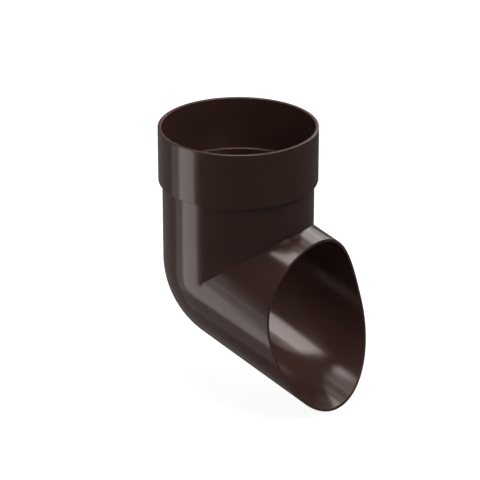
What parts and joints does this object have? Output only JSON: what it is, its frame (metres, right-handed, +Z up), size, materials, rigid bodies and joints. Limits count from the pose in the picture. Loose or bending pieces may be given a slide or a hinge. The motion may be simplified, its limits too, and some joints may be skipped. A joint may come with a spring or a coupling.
{
  "type": "downpipe outlet",
  "caption": "One-piece moulded plastic outlet shoe for a round downpipe: a wider socket, a short body, a bend and a slanted spout with a cut-back mouth.",
  "frame": {"origin": "middle of the socket's open rim, where the downpipe goes in", "axes": "+Z up along the socket's axis, +X the way the spout points seen from above, Y square to the plane that halves the shoe"},
  "size_m": [0.1105, 0.0842, 0.1436],
  "materials": {
    "brown_plastic": "glossy moulded, dark brown"
  },
  "bodies": {
    "root": {"outlet_shoe": "brown_plastic"}
  },
  "joints": []
}
